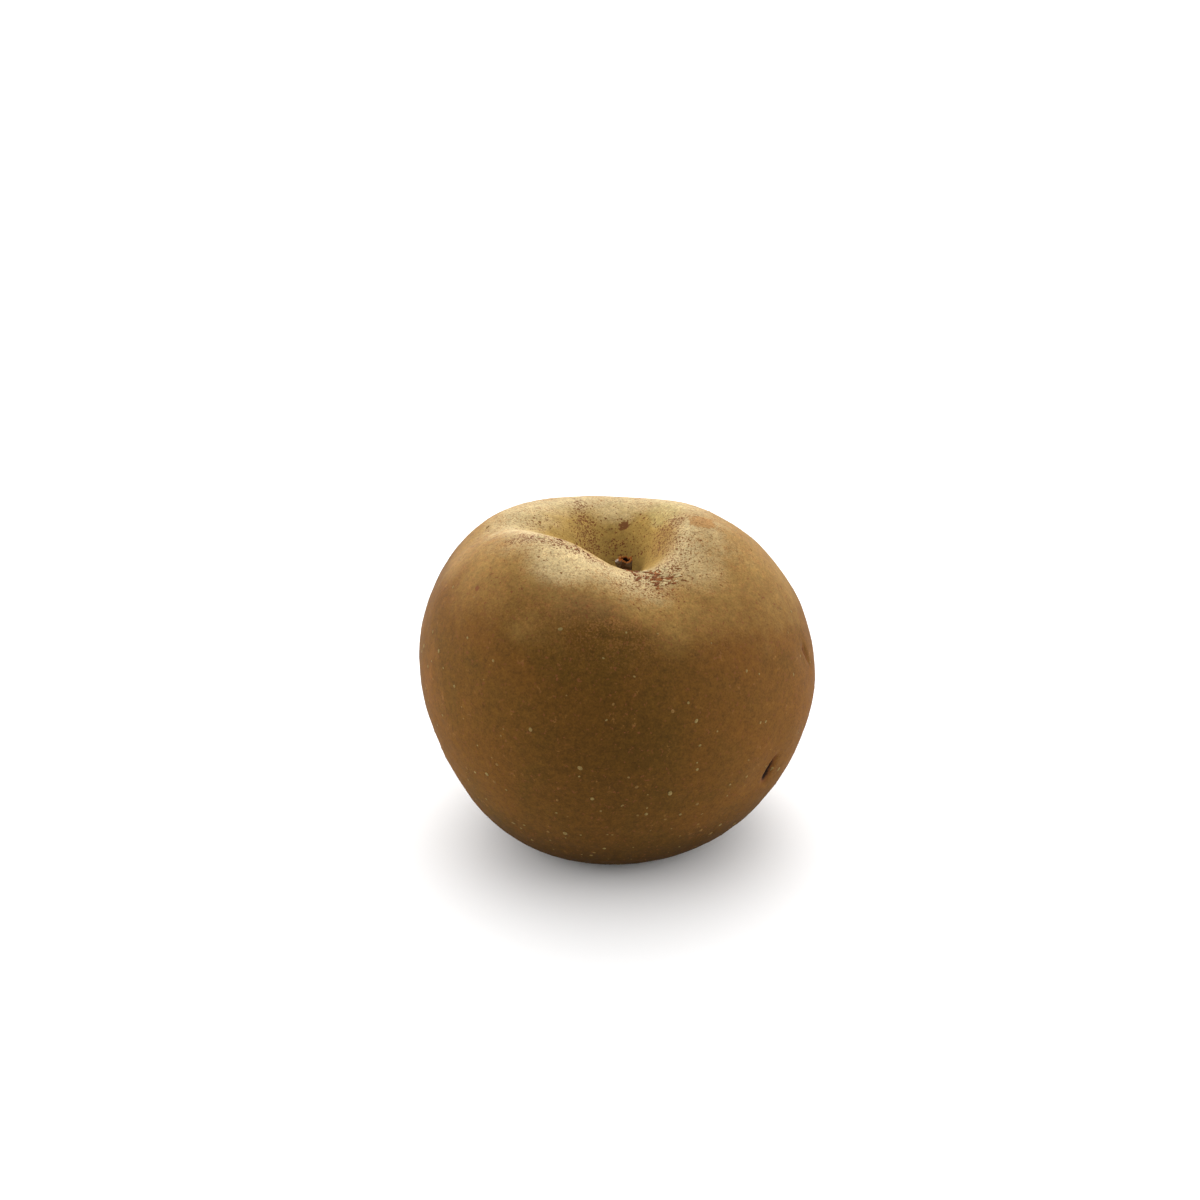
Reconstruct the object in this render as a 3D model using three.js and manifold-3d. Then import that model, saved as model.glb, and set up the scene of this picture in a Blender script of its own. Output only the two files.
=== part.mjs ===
// A russet apple: the fruit, the broken stem in its hollow and the dried calyx in its eye.
// Millimetres, +Z up. The front is -Y and the right-hand side is +X.
import * as THREE from "three";
import Module from "manifold-3d";

// Driving dimensions of the fruit.
const FRUIT_RADIUS = 41;
const CROWN_HEIGHT = 67.4;
const WIDEST_LEVEL = 35.3;
const CROWN_RADIUS = 18;
const HOLLOW_DEPTH = 12.5;
const BASE_RADIUS = 18.4;
const REST_WIDTH = 2.4;
const BASIN_DEPTH = 7;

// How full the outline is between those points, as shares of the way to the next point.
const HOLLOW_FLOOR_REACH = 2;
const HOLLOW_LIP = 0.48;
const SHOULDER_TOP = 0.34;
const SHOULDER_SIDE = 0.64;
const FLANK_SIDE = 0.37;
const FLANK_FOOT = 0.55;
const BASIN_LIP = 0.5;
const BASIN_FLOOR = 0.3;
const BASIN_RIB = 0.05;
const BASIN_RIBS = 5;

// The fruit is slightly three-sided, widest a little lower on the right, and grows over to the left.
const OVAL_SHARE = 0.005;
const THREE_SIDED_SHARE = 0.028;
const WIDEST_TILT = 1.2;
const LEAN_X = -2.8;
const LEAN_Y = -1.5;

// Lobes of the crown: where they stand round the fruit, how much they rise, and their half width.
const CROWN_LOBES = [
  { name: "low front rim", at: -58, rise: -5.3, halfWidth: 42 },
  { name: "front left lobe", at: -128, rise: 1.9, halfWidth: 30 },
  { name: "left crease", at: 178, rise: -1.5, halfWidth: 16 },
  { name: "low back rim", at: 88, rise: -1.7, halfWidth: 48 },
  { name: "right lobe", at: 5, rise: 0.8, halfWidth: 40 },
];

// Two healed scars lie in dimples of the flank.
const SCAR_DIMPLES = [
  { name: "lower right scar", at: -40, level: 23.5, depth: 0.8, halfWidth: 5 },
  { name: "right edge scar", at: -19, level: 43.5, depth: 0.4, halfWidth: 3.5 },
];

// The stem stands in a plain hole in the floor of the hollow, a little off the axis.
const STEM_X = 1.8;
const STEM_Y = -1.5;
const STEM_RADIUS = 1.5;
const STEM_STANDS = 4.6;
const STEM_HOLE_DEPTH = 5;
const PITH_RADIUS = 0.8;
const PITH_DEPTH = 1.6;
const TORN_BARK_AT = 195;
const TORN_BARK_FLARE = 0.5;

// The calyx sits in a shallow recess at the top of the basin.
const EYE_RADIUS = 3.4;
const EYE_RECESS = 2.5;
const SEPALS = 5;
const SEPAL_WIDTH = 3;
const SEPAL_THICKNESS = 0.7;

const GAP = 0.3;

// Fineness of the faceted solids.
const FRUIT_SIDES = 64;
const STEM_SIDES = 24;
const EYE_SIDES = 30;
const SEPAL_SIDES = 8;
const HOLLOW_STEPS = 9;
const SHOULDER_STEPS = 10;
const FLANK_STEPS = 12;
const BASIN_STEPS = 7;
const SEPAL_STEPS = 7;

const FLOOR_LEVEL = CROWN_HEIGHT - HOLLOW_DEPTH;
const STEM_HOLE_RADIUS = STEM_RADIUS + GAP;

const radians = THREE.MathUtils.degToRad;

// A smooth bump on a circle: 1 at its middle, fading over its half width.
function bump(angle, at, halfWidth) {
  const turn = angle - radians(at);
  const away = Math.atan2(Math.sin(turn), Math.cos(turn)) / radians(halfWidth);
  return Math.exp(-away * away);
}

function fruitRadius(angle) {
  const oval = OVAL_SHARE * Math.cos(2 * angle);
  const threeSided = THREE_SIDED_SHARE * Math.cos(3 * angle);
  return FRUIT_RADIUS * (1 + oval + threeSided);
}

function crownHeight(angle) {
  const rises = CROWN_LOBES.map((lobe) => lobe.rise * bump(angle, lobe.at, lobe.halfWidth));
  return CROWN_HEIGHT + rises.reduce((sum, rise) => sum + rise, 0);
}

function curve(points, steps) {
  const corners = points.map(([radius, level]) => new THREE.Vector2(radius, level));
  return new THREE.CubicBezierCurve(...corners).getPoints(steps);
}

// Sideways growth of the fruit at a level.
function leanAt(level) {
  const share = (level / CROWN_HEIGHT) ** 2;
  return new THREE.Vector2(LEAN_X * share, LEAN_Y * share);
}

// How far the scars press the flank in at a place.
function dimpleDepth(angle, radius, level) {
  const depths = SCAR_DIMPLES.map((scar) => {
    const turn = angle - radians(scar.at);
    const along = radius * Math.atan2(Math.sin(turn), Math.cos(turn));
    const away = Math.hypot(along, level - scar.level) / scar.halfWidth;
    return scar.depth * Math.exp(-away * away);
  });
  return depths.reduce((sum, depth) => sum + depth, 0);
}

function standing(angle, radius, level, centre) {
  return new THREE.Vector3(
    centre.x + radius * Math.cos(angle),
    centre.y + radius * Math.sin(angle),
    level,
  );
}

// One half outline of the fruit, from the mouth of the stem hole over the crown to the eye.
function fruitMeridian(angle) {
  const side = fruitRadius(angle);
  const crown = crownHeight(angle);
  const widest = WIDEST_LEVEL - WIDEST_TILT * Math.cos(angle);
  const footOut = BASE_RADIUS + REST_WIDTH / 2;
  const footIn = BASE_RADIUS - REST_WIDTH / 2;
  const ribbed = BASIN_FLOOR + BASIN_RIB * Math.cos(BASIN_RIBS * angle);

  const hollow = curve([
    [STEM_HOLE_RADIUS, FLOOR_LEVEL],
    [STEM_HOLE_RADIUS + HOLLOW_FLOOR_REACH, FLOOR_LEVEL],
    [CROWN_RADIUS * (1 - HOLLOW_LIP), crown],
    [CROWN_RADIUS, crown],
  ], HOLLOW_STEPS);
  const shoulder = curve([
    [CROWN_RADIUS, crown],
    [CROWN_RADIUS + SHOULDER_TOP * (side - CROWN_RADIUS), crown],
    [side, widest + SHOULDER_SIDE * (crown - widest)],
    [side, widest],
  ], SHOULDER_STEPS);
  const flank = curve([
    [side, widest],
    [side, widest * (1 - FLANK_SIDE)],
    [footOut + FLANK_FOOT * (side - footOut), 0],
    [footOut, 0],
  ], FLANK_STEPS);
  const basin = curve([
    [footIn, 0],
    [footIn * (1 - BASIN_LIP), 0],
    [EYE_RADIUS + ribbed * footIn, BASIN_DEPTH],
    [EYE_RADIUS, BASIN_DEPTH],
  ], BASIN_STEPS);

  const stemSite = new THREE.Vector2(STEM_X, STEM_Y);
  const inHollow = hollow.map(({ x: radius, y: level }, step) => {
    const centre = stemSite.clone().lerp(leanAt(crown), step / HOLLOW_STEPS);
    return standing(angle, radius, level, centre);
  });
  const outside = [...shoulder.slice(1), ...flank.slice(1)].map(({ x: radius, y: level }) => {
    const pressed = radius - dimpleDepth(angle, radius, level);
    return standing(angle, pressed, level, leanAt(level));
  });
  const underneath = basin.map(({ x: radius, y: level }) => standing(angle, radius, level, leanAt(level)));
  return [...inHollow, ...outside, ...underneath];
}

// A closed skin through rings of equally many points, fanned shut at the first and the last ring.
function skinThroughRings(rings) {
  const sides = rings[0].length;
  const points = rings.flat();
  const triangles = [];
  for (let level = 0; level + 1 < rings.length; level += 1) {
    for (let side = 0; side < sides; side += 1) {
      const here = level * sides + side;
      const beside = level * sides + (side + 1) % sides;
      triangles.push(here, here + sides, beside);
      triangles.push(beside, here + sides, beside + sides);
    }
  }
  const lastRing = (rings.length - 1) * sides;
  const firstMiddle = points.length;
  const lastMiddle = firstMiddle + 1;
  points.push(middleOf(rings[0]), middleOf(rings[rings.length - 1]));
  for (let side = 0; side < sides; side += 1) {
    const beside = (side + 1) % sides;
    triangles.push(firstMiddle, side, beside);
    triangles.push(lastMiddle, lastRing + beside, lastRing + side);
  }
  return new THREE.BufferGeometry().setFromPoints(points).setIndex(triangles);
}

function middleOf(ring) {
  const sum = ring.reduce((total, point) => total.add(point), new THREE.Vector3());
  return sum.divideScalar(ring.length);
}

function anglesOf(sides) {
  return Array.from({ length: sides }, (_, side) => (2 * Math.PI * side) / sides);
}

function fruitSkin() {
  const meridians = anglesOf(FRUIT_SIDES).map(fruitMeridian);
  const rings = meridians[0].map((_, level) => meridians.map((meridian) => meridian[level]));
  const holeBottom = rings[0].map((point) => point.clone().setZ(FLOOR_LEVEL - STEM_HOLE_DEPTH));
  const recessTop = rings[rings.length - 1].map((point) => point.clone().setZ(BASIN_DEPTH + EYE_RECESS));
  return skinThroughRings([holeBottom, ...rings, recessTop]);
}

// The stub is round in its hole, waisted above it, and flares to a ragged broken end with a hollow pith.
function stemSkin() {
  const top = FLOOR_LEVEL + STEM_STANDS;
  const bottom = FLOOR_LEVEL - STEM_HOLE_DEPTH + GAP;
  const site = new THREE.Vector2(STEM_X, STEM_Y);
  const rows = [
    { radius: 0.6 * PITH_RADIUS, level: top - PITH_DEPTH, ragged: 0, bark: 0 },
    { radius: PITH_RADIUS, level: top - 0.4 * PITH_DEPTH, ragged: 0.2, bark: 0 },
    { radius: 1.1 * PITH_RADIUS, level: top, ragged: 1, bark: 0 },
    { radius: 0.88 * STEM_RADIUS, level: top, ragged: 1, bark: 0.6 },
    { radius: 0.95 * STEM_RADIUS, level: top - 0.5, ragged: 0.6, bark: 1 },
    { radius: 0.92 * STEM_RADIUS, level: top - 1.4, ragged: 0.2, bark: 0.8 },
    { radius: 0.86 * STEM_RADIUS, level: top - 2.4, ragged: 0, bark: 0.2 },
    { radius: 0.9 * STEM_RADIUS, level: top - 3.4, ragged: 0, bark: 0 },
    { radius: STEM_RADIUS, level: FLOOR_LEVEL + 0.3, ragged: 0, bark: 0 },
    { radius: STEM_RADIUS, level: bottom + 0.4, ragged: 0, bark: 0 },
    { radius: 0.8 * STEM_RADIUS, level: bottom, ragged: 0, bark: 0 },
  ];
  const rings = rows.map((row) => anglesOf(STEM_SIDES).map((angle) => {
    const tooth = 0.3 * Math.sin(3 * angle + 1) + 0.22 * Math.sin(5 * angle);
    const flare = 1 + row.bark * TORN_BARK_FLARE * bump(angle, TORN_BARK_AT, 28);
    return standing(angle, row.radius * flare, row.level + row.ragged * tooth, site);
  }));
  return skinThroughRings(rings);
}

// The eye cup fills the recess and is hollow underneath.
function eyeCupSkin(centre) {
  const rim = EYE_RADIUS - GAP;
  const back = BASIN_DEPTH + EYE_RECESS - GAP;
  const rows = [
    [rim, back],
    [rim, BASIN_DEPTH + 0.3],
    [0.7 * rim, BASIN_DEPTH - 0.4],
    [0.4 * rim, BASIN_DEPTH + 0.4],
    [0.15 * rim, BASIN_DEPTH + 1.2],
  ];
  const rings = rows.map(([radius, level]) => (
    anglesOf(EYE_SIDES).map((angle) => standing(angle, radius, level, centre))
  ));
  return skinThroughRings(rings);
}

// A dried sepal: a thin pointed blade that spreads from the cup and bends down.
function sepalSkin(sepal, centre) {
  const turn = (2 * Math.PI * (sepal + 0.3)) / SEPALS;
  const reach = 5.2 + 0.5 * Math.cos(2.3 * sepal);
  const outward = new THREE.Vector3(Math.cos(turn), Math.sin(turn), 0);
  const across = new THREE.Vector3(-Math.sin(turn), Math.cos(turn), 0);
  const along = (radius, level) => outward.clone().multiplyScalar(radius).setZ(level);
  const spine = new THREE.QuadraticBezierCurve3(
    along(1.7, BASIN_DEPTH + 0.2),
    along(0.85 * reach, BASIN_DEPTH - 0.9),
    along(reach, BASIN_DEPTH - 3.6),
  );
  const rings = Array.from({ length: SEPAL_STEPS + 1 }, (_, step) => {
    const share = step / SEPAL_STEPS;
    const middle = spine.getPoint(share);
    const up = new THREE.Vector3().crossVectors(spine.getTangent(share), across);
    const half = 0.5 * SEPAL_WIDTH * (1 - 0.9 * share ** 1.6);
    const thick = 0.5 * SEPAL_THICKNESS * (1 - 0.5 * share);
    return anglesOf(SEPAL_SIDES).map((angle) => middle.clone()
      .addScaledVector(across, half * Math.cos(angle))
      .addScaledVector(up, -thick * Math.sin(angle))
      .add(new THREE.Vector3(centre.x, centre.y, 0)));
  });
  return skinThroughRings(rings);
}

const wasm = await Module();
wasm.setup();

function solidOf(geometry) {
  return new wasm.Manifold(new wasm.Mesh({
    numProp: 3,
    vertProperties: geometry.getAttribute("position").array,
    triVerts: new Uint32Array(geometry.index.array),
  }));
}

function geometryOf(solid) {
  const mesh = solid.getMesh();
  return new THREE.BufferGeometry()
    .setAttribute("position", new THREE.BufferAttribute(mesh.vertProperties, 3))
    .setIndex(new THREE.BufferAttribute(mesh.triVerts, 1));
}

// Cup and sepals are one dried piece.
function calyxSkin() {
  const centre = leanAt(BASIN_DEPTH);
  const sepals = Array.from({ length: SEPALS }, (_, sepal) => solidOf(sepalSkin(sepal, centre)));
  const joined = sepals.reduce((whole, sepal) => whole.add(sepal), solidOf(eyeCupSkin(centre)));
  return geometryOf(joined);
}

function piece(name, geometry, colour, roughness) {
  const material = new THREE.MeshStandardMaterial({ color: colour, roughness, metalness: 0 });
  geometry.computeVertexNormals();
  const mesh = new THREE.Mesh(geometry, material);
  mesh.name = name;
  return mesh;
}

const apple = new THREE.Group();
apple.name = "apple";
apple.add(
  piece("fruit", fruitSkin(), 0x8a6a3a, 0.75),
  piece("stem", stemSkin(), 0x5a4430, 0.9),
  piece("calyx", calyxSkin(), 0x4d3c28, 0.9),
);

// The origin is under the middle of the apple's box, at the level it rests on.
const box = new THREE.Box3().setFromObject(apple, true);
const middle = box.getCenter(new THREE.Vector3());
apple.children.forEach((mesh) => mesh.geometry.translate(-middle.x, -middle.y, -box.min.z));

export default apple;
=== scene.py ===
import math

import bpy
from bpy.props import FloatProperty, FloatVectorProperty, IntProperty, PointerProperty
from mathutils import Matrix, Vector, noise


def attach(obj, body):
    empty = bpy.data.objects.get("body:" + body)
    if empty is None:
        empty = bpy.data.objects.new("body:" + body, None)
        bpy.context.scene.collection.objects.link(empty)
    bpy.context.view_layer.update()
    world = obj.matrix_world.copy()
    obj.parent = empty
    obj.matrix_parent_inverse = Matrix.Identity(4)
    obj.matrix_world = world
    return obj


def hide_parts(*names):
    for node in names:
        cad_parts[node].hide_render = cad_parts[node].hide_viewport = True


bl_info = {
    "name": "Russet Apple",
    "version": (1, 0, 0),
    "blender": (4, 5, 0),
    "location": "View3D > Sidebar > Apple",
    "description": "Grows a russet apple with its broken stem and dried calyx, in a pale studio",
    "category": "Add Mesh",
}

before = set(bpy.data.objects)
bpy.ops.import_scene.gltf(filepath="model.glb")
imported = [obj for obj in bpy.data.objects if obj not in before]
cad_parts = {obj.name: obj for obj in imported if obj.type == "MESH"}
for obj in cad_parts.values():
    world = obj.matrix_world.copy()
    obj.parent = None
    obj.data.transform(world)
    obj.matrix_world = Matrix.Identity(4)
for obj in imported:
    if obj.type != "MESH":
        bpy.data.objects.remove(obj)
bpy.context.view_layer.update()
MM = 0.001

# How full the half outline is between its driving points, as shares of the way to the next point.
HOLLOW_LIP = 0.48
SHOULDER_TOP = 0.34
SHOULDER_SIDE = 0.64
FLANK_SIDE = 0.37
FLANK_FOOT = 0.55
BASIN_LIP = 0.5
BASIN_FLOOR = 0.3
BASIN_RIB = 0.05

# Ribs round the basin, and how far the hollow's floor runs level.
BASIN_RIBS = 5
HOLLOW_FLOOR_REACH = 2 * MM

# The fruit is slightly oval and three-sided, and widest a little lower on the right.
OVAL_SHARE = 0.005
THREE_SIDED_SHARE = 0.028
WIDEST_TILT = 1.2 * MM

# Columns of the skin's mesh stand closer together round this place, on the scarred side, in degrees.
FINE_SIDE = -65
FINE_SIDE_SHARE = 0.45

# Faces round and along the pieces made of rings.
STUB_SIDES = 96
STUB_STEPS = 4
SEPAL_SIDES = 24
SEPAL_STEPS = 26
CUP_SIDES = 60
STAMEN_SIDES = 8
STAMEN_STEPS = 6

# Where the stub's bark is torn away and where its end is lowest: place round it and half width, in degrees.
BARK_TEAR = (195, 22)
LOW_END = (-85, 50)

# Seeds of the scattered beads, and of the numbers that each bead draws.
LENTICEL_SEED = 7
FLAKE_SEED = 3
BEAD_SEEDS = {"radius": 11, "stretch": 12, "tint": 13, "twist": 14, "tilt": 15}

# Slight unevenness of the grown skin: the size and height of its swells and pimples, and the levels over
# which it sets in above the resting ring.
SWELL_SIZE = 9 * MM
SWELL_HEIGHT = 0.5 * MM
PIMPLE_SIZE = 1.6 * MM
PIMPLE_HEIGHT = 0.07 * MM
UNEVEN_FROM = (0.2 * MM, 5 * MM)

# How much a slit narrows towards its upper end, and the share of flecks everywhere in the hollow.
SLIT_TAPER = 0.4
HOLLOW_CROWD = 0.06

# The camera's sensor in millimetres, and the size of the paler clouds in the floor.
SENSOR_WIDTH = 36
PAPER_CLOUD = 400 * MM

# Lobes of the crown: where they stand round the fruit in degrees, how much they rise, and their half width.
CROWN_LOBES = (
    ("low front rim", -58, -5.3 * MM, 42),
    ("front left lobe", -128, 1.9 * MM, 30),
    ("left crease", 178, -1.5 * MM, 16),
    ("low back rim", 88, -1.7 * MM, 48),
    ("right lobe", 5, 0.8 * MM, 40),
)

# Dimples round the scars: where they stand round the fruit, their level, depth and half width.
SCAR_DIMPLES = (
    ("lower right scar", -40, 23.5 * MM, 0.8 * MM, 5.0 * MM),
    ("right edge scar", -19, 43.5 * MM, 0.4 * MM, 3.5 * MM),
)

# Healed slits in those dimples, in millimetres: the middle, the way they run, half length, half width
# and depth, and how dark they are inside.
SCAR_SLITS = (
    ("lower right slit", (30.3, -22.6, 22.9), (0.325, -0.03, 0.945), 3.2, 0.75, 1.3, 1.0),
    ("right edge slit", (37.7, -11.1, 42.8), (0.342, 0.193, -0.92), 2.4, 0.5, 0.7, 0.45),
)

# Bands of cork flecks round the hollow, in millimetres: the middle, the way they run, half length,
# half width, and the share of places that hold a fleck.
FLECK_BANDS = (
    ("streak down the left wall", (-7.2, 8.6, 63.4), (0.2, -1.0, -0.5), 7.5, 1.6, 1.1),
    ("left wall", (-6.4, 4.6, 61.6), (0.3, -0.9, -0.5), 3.5, 2.4, 0.65),
    ("front left crest", (-10.5, -14.8, 68.0), (0.92, -0.27, -0.27), 8.0, 2.0, 1.5),
    ("far left crest", (-17.5, -13.2, 68.9), (1.0, -0.2, 0.05), 4.5, 1.5, 1.4),
    ("far left crown", (-15.5, 4.0, 66.2), (0.5, 0.8, 0.0), 3.5, 3.0, 0.18),
    ("right wall", (9.7, -1.0, 65.0), (0.38, 0.75, 0.54), 5.0, 3.0, 0.65),
    ("low front rim", (6.8, -15.6, 62.3), (0.9, 0.4, 0.05), 6.0, 2.6, 0.60),
    ("below the front rim", (6.0, -20.5, 61.8), (0.9, 0.3, 0.1), 6.5, 3.0, 0.45),
    ("right rim", (12.0, -9.5, 64.0), (0.3, 0.9, 0.2), 6.0, 3.2, 0.25),
    ("behind the stem", (0.0, 5.4, 59.2), (0.8, 0.2, 0.5), 2.5, 1.2, 0.40),
)

# Spots of the crown where the russet is rubbed thin and the ground shows pale, partly painted highlight
# where the left ridge and the rims catch the light: middle and reach in millimetres, and strength.
PALE_SPOTS = (
    ((-10.5, -21.0, 67.0), (11.0, 9.0, 7.0), 1.15),
    ((15.5, -15.0, 62.3), (10.0, 9.0, 7.0), 0.5),
    ((0.0, 12.0, 64.5), (10.0, 6.0, 6.0), 0.7),
    ((-15.0, 4.5, 66.0), (8.0, 7.0, 6.0), 0.5),
)

# Spots of the shoulder with a dusky bloom, in the same way.
DUSKY_SPOTS = (
    ((-6.0, -30.5, 60.5), (13.0, 8.0, 8.0), 1.1),
    ((-13.5, -25.0, 65.2), (7.0, 6.0, 6.0), 0.5),
)

# Marks of the skin that stand at one place, in millimetres: the middle and the reach.
SKIN_SPOTS = {
    # The shaded front is painted shade on the side that faces the camera, over some darker olive of the
    # skin's own.
    "shaded front": ((-1.0, -44.0, 36.0), (34.0, 34.0, 44.0)),
    "rusty blotch": ((-37.0, -20.0, 41.0), (6.0, 9.0, 13.0)),
    "front halo": ((5.0, -23.0, 61.2), (13.0, 8.5, 9.0)),
    "front shoulder": ((-2.0, -32.0, 58.0), (17.0, 11.0, 11.0)),
    "green ground": ((9.6, 6.5, 66.3), (8.0, 8.0, 5.0)),
    "orange patch": ((16.9, -0.6, 67.2), (5.2, 4.2, 3.5)),
    "lifted flakes": ((6.6, -16.6, 62.3), (6.4, 4.4, 3.4)),
}

# Places of the right wall that are worn to tan, and dark scabs: the middle, the reach and the strength.
WORN_SPOTS = (
    ((9.0, -3.0, 64.0), (5.0, 9.0, 6.0), 1.0),
    ((14.5, 2.5, 67.7), (7.0, 6.0, 5.0), 0.5),
)
SCAB_SPOTS = (
    ((1.2, 8.7, 62.8), (2.0, 1.6, 2.2), 1.0),
    ((-27.1, -21.1, 61.7), (1.0, 1.0, 1.0), 1.0),
)

# The crest with lifted flakes, given as the bands are, and the white spot of the stub's bark.
FLAKE_CREST = ((-10.5, -14.8, 68.0), (0.92, -0.27, -0.27), 7.0, 1.3)
BLEACHED_SPOT = ((-0.55, -1.4, 59.5), (1.1, 1.2, 1.1))

# Where the skin changes along the half outline: 0 at the stem, 1 on the crown, 2 at the widest and 3 at
# the foot.
CREAM_EDGE = (0.70, 1.0)
TAN_EDGE = (0.98, 1.32)
RUSSET_EDGE = (1.25, 1.64)
STIPPLE_START = (0.6, 1.0)
STIPPLE_END = (1.35, 1.7)
FLANK_EDGE = (1.3, 1.8)
# Painted shade sets in towards the foot over this stretch.
FOOT_SHADE_EDGE = (2.3, 2.75)

# How far to the right the flank turns redder, and the bare ground reaches further down.
REDDER_SIDE = (5 * MM, 40 * MM)
BARER_SIDE = (16 * MM, 38 * MM)

# Sizes of the skin's irregular patches.
BROAD_PATCH = 12 * MM
PATCH = 2.6 * MM
TORN_EDGE = 0.8 * MM
STIPPLE_POINT = 0.34 * MM

# Mirror gloss of these dry surfaces, where 0.5 is a usual one.
MATT_GLOSS = 0.06

# Stretches of the fruit's half outline, from the stem hole to the eye, with their rows of faces.
OUTLINE_ROWS = {
    "hole floor": 3,
    "hole wall": 5,
    "hollow": 56,
    "shoulder": 66,
    "flank": 84,
    "rest": 4,
    "basin": 26,
    "recess wall": 3,
    "recess roof": 2,
}


def metres(millimetres):
    return tuple(number * MM for number in millimetres)


def length_setting(name, description, millimetres):
    """A length in the panel."""
    return FloatProperty(name=name, description=description, default=millimetres * MM, unit="LENGTH")


def site_setting(name, description, millimetres):
    """A place or a shift in the panel."""
    default = metres(millimetres)
    size = len(default)
    return FloatVectorProperty(name=name, description=description, default=default, size=size, unit="LENGTH")


def colour_setting(name, description, colour):
    """A colour in the panel, as linear red, green and blue."""
    return FloatVectorProperty(name=name, description=description, default=colour, size=3, subtype="COLOR")


class FruitForm(bpy.types.PropertyGroup):
    """Sizes of the fruit"""

    radius: length_setting("Radius", "Mean radius at the widest level", 41)
    crown_height: length_setting("Crown Height", "Mean height of the crown", 67.4)
    widest_level: length_setting("Widest Level", "Height of the widest level", 35.3)
    crown_radius: length_setting("Crown Radius", "Radius of the crown round the hollow", 18)
    hollow_depth: length_setting("Hollow Depth", "Depth of the stem hollow", 12.5)
    base_radius: length_setting("Base Radius", "Radius of the ring it rests on", 18.4)
    rest_width: length_setting("Rest Width", "Width of the flat ring it rests on", 2.4)
    basin_depth: length_setting("Basin Depth", "Depth of the basin round the eye", 7)
    hole_radius: length_setting("Hole Radius", "Radius of the hole the stem stands in", 1.8)
    hole_depth: length_setting("Hole Depth", "Depth of the hole the stem stands in", 5)
    eye_radius: length_setting("Eye Radius", "Radius of the recess for the calyx", 3.4)
    eye_recess: length_setting("Eye Recess", "Depth of the recess for the calyx", 2.5)
    lean: site_setting("Lean", "Sideways growth at the crown", (-2.8, -1.5))
    stem_site: site_setting("Stem Site", "Where the stem stands from the axis of the base", (1.8, -1.5))
    axis_site: site_setting("Axis Site", "Where the axis of the base stands in the frame", (-0.379, 0.414))
    rounds: IntProperty(name="Rounds", description="Faces round the skin", default=384, min=32)


class SkinFinish(bpy.types.PropertyGroup):
    """Colours and marks of the skin"""

    russet: colour_setting("Russet", "Dark russet of the flank", (0.118, 0.0505, 0.0082))
    olive: colour_setting("Olive", "Greener clouds in the russet", (0.088, 0.0455, 0.0072))
    rust: colour_setting("Rust", "Redder clouds in the russet", (0.160, 0.064, 0.013))
    # Painted shade over some darker olive of the skin's own, laid on the front that faces the camera and at
    # the foot.
    painted_shade: colour_setting("Shade", "Darkest olive brown of the front", (0.0632, 0.0292, 0.0037))
    dusk: colour_setting("Dusk", "Dusky clouds on the front shoulder", (0.125, 0.068, 0.028))
    tan: colour_setting("Tan", "Thin russet on the shoulder", (0.262, 0.152, 0.042))
    cream: colour_setting("Cream", "Bare ground on the crown", (0.475, 0.365, 0.185))
    # Also the painted highlight on the lit ridge and rims of the crown.
    pale: colour_setting("Pale", "Ground rubbed bare on the crown", (0.56, 0.43, 0.22))
    hollow: colour_setting("Hollow", "Bare ground in the hollow", (0.335, 0.210, 0.054))
    stipple: colour_setting("Stipple", "Fine russet points on the crown", (0.225, 0.098, 0.032))
    fleck: colour_setting("Fleck", "Cork flecks round the hollow", (0.145, 0.051, 0.017))
    flake: colour_setting("Flake", "Redder lifted flakes", (0.235, 0.085, 0.026))
    scar: colour_setting("Scar", "Dark inside of the healed slits", (0.012, 0.006, 0.0035))
    orange: colour_setting("Orange", "Orange patch on the right crown", (0.32, 0.155, 0.042))
    green: colour_setting("Green", "Pale green ground over the right wall", (0.40, 0.335, 0.135))
    lenticel: colour_setting("Lenticel", "Pale pores on the flank", (0.200, 0.140, 0.050))
    lenticel_radius: length_setting("Lenticel Radius", "Radius of the largest pores", 0.47)
    flake_radius: length_setting("Flake Radius", "Half width of the largest lifted flakes", 0.36)
    lenticel_density: FloatProperty(
        name="Lenticel Density", description="Most pores on a square metre of skin", default=46000.0
    )
    flake_density: FloatProperty(
        name="Flake Density", description="Most lifted flakes on a square metre of skin", default=5200000.0
    )


class StemForm(bpy.types.PropertyGroup):
    """Sizes and colours of the broken stem"""

    radius: length_setting("Radius", "Radius of the stub", 1.5)
    stands: length_setting("Stands", "Height of the stub over the hollow's floor", 4.6)
    pith_radius: length_setting("Pith Radius", "Radius of the hollow pith", 0.92)
    pith_depth: length_setting("Pith Depth", "Depth of the hollow pith", 1.6)
    bark: colour_setting("Bark", "Weathered bark", (0.105, 0.060, 0.034))
    grey_bark: colour_setting("Grey Bark", "Greyer clouds in the bark", (0.26, 0.22, 0.17))
    bleached: colour_setting("Bleached", "Bark bleached white on the left", (0.55, 0.50, 0.43))
    broken_wood: colour_setting("Broken Wood", "Torn wood at the broken end", (0.36, 0.125, 0.028))
    pith: colour_setting("Pith", "Dark inside of the hollow pith", (0.016, 0.008, 0.005))


class CalyxForm(bpy.types.PropertyGroup):
    """Sizes and colours of the dried calyx"""

    sepals: IntProperty(name="Sepals", description="Sepals round the eye", default=5, min=3)
    stamens: IntProperty(name="Stamens", description="Dried stamens in the eye", default=11, min=0)
    sepal_width: length_setting("Sepal Width", "Width of a sepal at its foot", 3.2)
    sepal_reach: length_setting("Sepal Reach", "How far a sepal spreads from the axis", 5.2)
    dried_leaf: colour_setting("Dried Leaf", "Colour of the sepals", (0.090, 0.055, 0.026))
    down: colour_setting("Down", "Grey down on the sepals", (0.33, 0.28, 0.20))


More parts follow.
